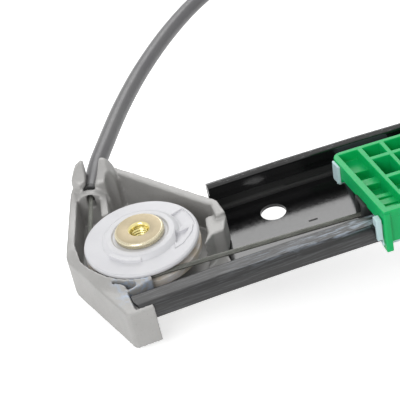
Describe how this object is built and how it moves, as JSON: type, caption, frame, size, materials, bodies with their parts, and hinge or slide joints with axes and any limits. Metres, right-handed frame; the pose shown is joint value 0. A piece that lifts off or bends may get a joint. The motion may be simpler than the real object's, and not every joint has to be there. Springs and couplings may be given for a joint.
{
  "type": "window regulator",
  "caption": "Cable-driven window regulator: a bowed guide rail with a sliding glass carrier, a cable pulley at each end, sheathed cables and a winding drum.",
  "frame": {"origin": "the middle hole of the guide rail, on the web's upper face", "axes": "+X along the rail's chord from the lower to the upper pulley, +Y towards the cable drum, +Z out of the rail's open side, up when it lies on its back"},
  "size_m": [0.6246, 0.2311, 0.0607],
  "materials": {
    "rail_steel": "gloss black paint on bent sheet steel",
    "bracket_casting": "die-cast, satin",
    "pulley_plastic": "natural acetal, milky, slightly greasy",
    "bush_steel": "zinc plated, pale yellow passivate",
    "ferrule_steel": "plated steel washer",
    "conduit_plastic": "dark grey sheath over coiled wire",
    "cap_plastic": "moulded black",
    "spring_steel": "spring wire",
    "cable_steel": "stranded steel cable, greased",
    "slider_plastic": "moulded green acetal",
    "pad_plastic": "moulded white low-friction plastic",
    "bumper_rubber": "moulded rubber",
    "nipple_metal": "cast zinc cable end",
    "jaw_plastic": "moulded green acetal",
    "screw_steel": "zinc plated steel",
    "housing_plastic": "moulded black glass-filled plastic",
    "drum_plastic": "moulded acetal",
    "sleeve_metal": "plated steel sleeve"
  },
  "bodies": {
    "rail_and_heads": {"guide_rail": "rail_steel", "lower_bracket": "bracket_casting", "lower_pulley_bush": "bush_steel", "lower_conduit_ferrule": "ferrule_steel", "lower_conduit": "conduit_plastic", "lower_conduit_cap": "cap_plastic", "lower_slack_spring": "spring_steel", "upper_bracket": "bracket_casting", "upper_pulley_bush": "bush_steel", "upper_conduit_ferrule": "ferrule_steel", "upper_conduit": "conduit_plastic", "upper_conduit_cap": "cap_plastic", "upper_slack_spring": "spring_steel", "lower_cable": "cable_steel", "upper_cable": "cable_steel", "drum_housing": "housing_plastic", "drum_cover": "housing_plastic", "cover_screws": "screw_steel", "motor_sleeves": "sleeve_metal"},
    "slider": {"slider_body": "slider_plastic", "near_guide_pads": "pad_plastic", "far_guide_pads": "pad_plastic", "slider_bumpers": "bumper_rubber", "lower_cable_nipple": "nipple_metal", "upper_cable_nipple": "nipple_metal", "glass_clamp_jaw": "jaw_plastic", "lower_glass_pad": "bumper_rubber", "upper_glass_pad": "bumper_rubber", "clamp_screw": "screw_steel", "clamp_nut": "screw_steel"},
    "lower_pulley": {"lower_pulley": "pulley_plastic"},
    "upper_pulley": {"upper_pulley": "pulley_plastic"},
    "drum": {"cable_drum": "drum_plastic", "lower_cable_winding": "cable_steel", "upper_cable_winding": "cable_steel"}
  },
  "joints": [
    {"name": "slider_travel", "type": "hinge", "parent": "rail_and_heads", "child": "slider", "pos_m": [0, 0, -1.48855], "axis": [0, 1, 0], "range_deg": [-1.3, 14.51]},
    {"name": "lower_pulley_spin", "type": "hinge", "parent": "rail_and_heads", "child": "lower_pulley", "pos_m": [-0.2882, 0, -0.0165], "axis": [-0.1921, 0, 0.9814], "continuous": true},
    {"name": "upper_pulley_spin", "type": "hinge", "parent": "rail_and_heads", "child": "upper_pulley", "pos_m": [0.2882, 0, -0.0165], "axis": [0.1921, 0, 0.9814], "continuous": true},
    {"name": "drum_spin", "type": "hinge", "parent": "rail_and_heads", "child": "drum", "pos_m": [0, 0.1423, -0.0177], "axis": [0, 0, 1], "continuous": true}
  ],
  "couplings": [
    {"joint": "lower_pulley_spin", "follows": "slider_travel", "ratio": 85.469},
    {"joint": "upper_pulley_spin", "follows": "slider_travel", "ratio": 85.469},
    {"joint": "drum_spin", "follows": "slider_travel", "ratio": 74.785}
  ]
}
